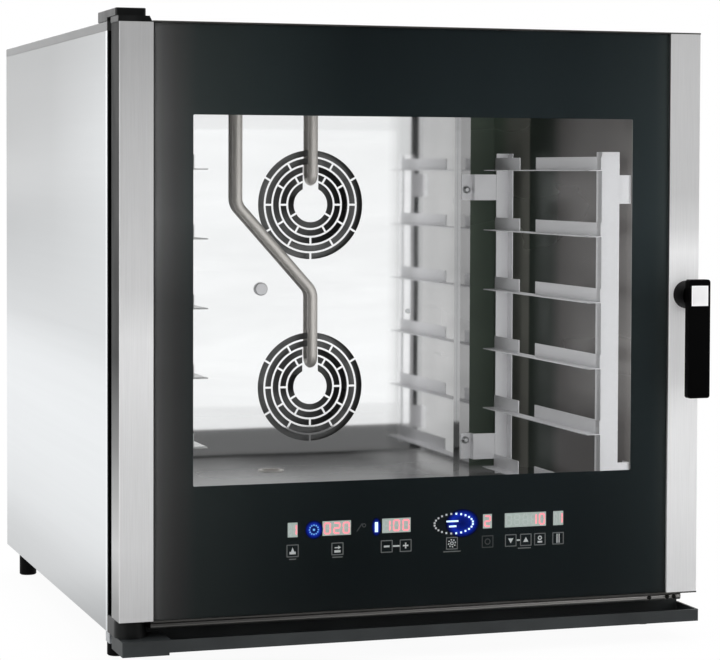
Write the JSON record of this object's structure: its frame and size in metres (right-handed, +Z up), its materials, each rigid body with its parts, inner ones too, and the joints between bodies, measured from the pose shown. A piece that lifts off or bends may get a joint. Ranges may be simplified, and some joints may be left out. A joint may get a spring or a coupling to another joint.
{
  "type": "convection bakery oven",
  "caption": "Free-standing convection bakery oven with a glass door, lever handle, touch controls, slotted fan cover, steam tubes and a tray rack.",
  "frame": {"origin": "on the floor, under the middle of the whole oven's box", "axes": "+Z up, -Y towards the door and handle, +X to the right seen from the front"},
  "size_m": [0.86, 0.95, 0.925],
  "materials": {
    "casing_steel": "fine vertical brushing",
    "galvanised_steel": "satin zinc",
    "cavity_steel": "polished",
    "rack_steel": "satin",
    "tube_steel": "polished tube",
    "fan_steel": "satin",
    "heater_steel": "oxidised sheath",
    "motor_paint": "black paint",
    "door_frame_black": "dark grey satin",
    "glass": "clear toughened glass",
    "gutter_steel": "polished",
    "black_plastic": "fine moulded grain",
    "badge_plastic": "plain light grey",
    "display_plastic": "smoked red window",
    "board": "solder mask",
    "gasket_rubber": "black silicone",
    "mineral_wool": "loose fibre",
    "lamp_glass": "clear dome",
    "valve_brass": "machined"
  },
  "bodies": {
    "cabinet": {"base_frame": "galvanised_steel", "levelling_feet": "black_plastic", "left_side_panel": "casing_steel", "right_side_panel": "casing_steel", "top_cover": "casing_steel", "back_panel": "galvanised_steel", "front_frame": "casing_steel", "cavity_liner": "cavity_steel", "insulation": "mineral_wool", "door_gasket": "gasket_rubber", "fan_cover_plate": "cavity_steel", "upper_steam_tube": "tube_steel", "lower_steam_tube": "tube_steel", "steam_tube_glands": "tube_steel", "water_manifold": "tube_steel", "upper_heater": "heater_steel", "lower_heater": "heater_steel", "motor_plate": "galvanised_steel", "upper_fan_motor": "motor_paint", "lower_fan_motor": "motor_paint", "temperature_probe": "rack_steel", "cavity_fasteners": "rack_steel", "left_tray_rack": "rack_steel", "right_tray_rack": "rack_steel", "rack_brackets": "rack_steel", "cavity_lamp": "lamp_glass", "drain_pipe": "tube_steel", "exhaust_chimney": "tube_steel", "water_valve": "valve_brass", "cable_gland": "black_plastic", "power_board": "board", "cooling_fan_frame": "black_plastic", "hinge_top_bracket": "door_frame_black", "hinge_bottom_bracket": "door_frame_black", "hinge_pins": "galvanised_steel", "latch_keeper": "galvanised_steel", "drip_tray": "black_plastic", "casing_screws": "galvanised_steel"},
    "door": {"left_door_profile": "door_frame_black", "right_door_profile": "door_frame_black", "door_top_rail": "door_frame_black", "door_bottom_rail": "door_frame_black", "left_door_trim": "casing_steel", "right_door_trim": "casing_steel", "outer_glass": "glass", "inner_glass": "glass", "inner_glass_clips": "rack_steel", "control_housing": "black_plastic", "control_board": "board", "display_modules": "display_plastic", "door_gutter": "gutter_steel", "door_hinge_plate": "door_frame_black", "handle_bush": "black_plastic"},
    "handle": {"handle_lever": "black_plastic", "handle_badge": "badge_plastic", "handle_spindle": "galvanised_steel", "latch_hook": "galvanised_steel"},
    "upper_fan": {"upper_fan_wheel": "fan_steel"},
    "lower_fan": {"lower_fan_wheel": "fan_steel"},
    "cooling_fan": {"cooling_fan_rotor": "black_plastic"}
  },
  "joints": [
    {"name": "door_swing", "type": "hinge", "parent": "cabinet", "child": "door", "pos_m": [-0.408, -0.399, 0.475], "axis": [0, 0, -1], "range_deg": [0, 180]},
    {"name": "handle_turn", "type": "hinge", "parent": "door", "child": "handle", "pos_m": [0.4085, -0.429, 0.5037], "axis": [0, 1, 0], "range_deg": [0, 90]},
    {"name": "upper_fan_spin", "type": "hinge", "parent": "cabinet", "child": "upper_fan", "pos_m": [0, 0.2, 0.6265], "axis": [0, 1, 0], "continuous": true},
    {"name": "lower_fan_spin", "type": "hinge", "parent": "cabinet", "child": "lower_fan", "pos_m": [0, 0.2, 0.3335], "axis": [0, 1, 0], "continuous": true},
    {"name": "cooling_fan_spin", "type": "hinge", "parent": "cabinet", "child": "cooling_fan", "pos_m": [-0.29, 0.4506, 0.3], "axis": [0, 1, 0], "continuous": true}
  ]
}
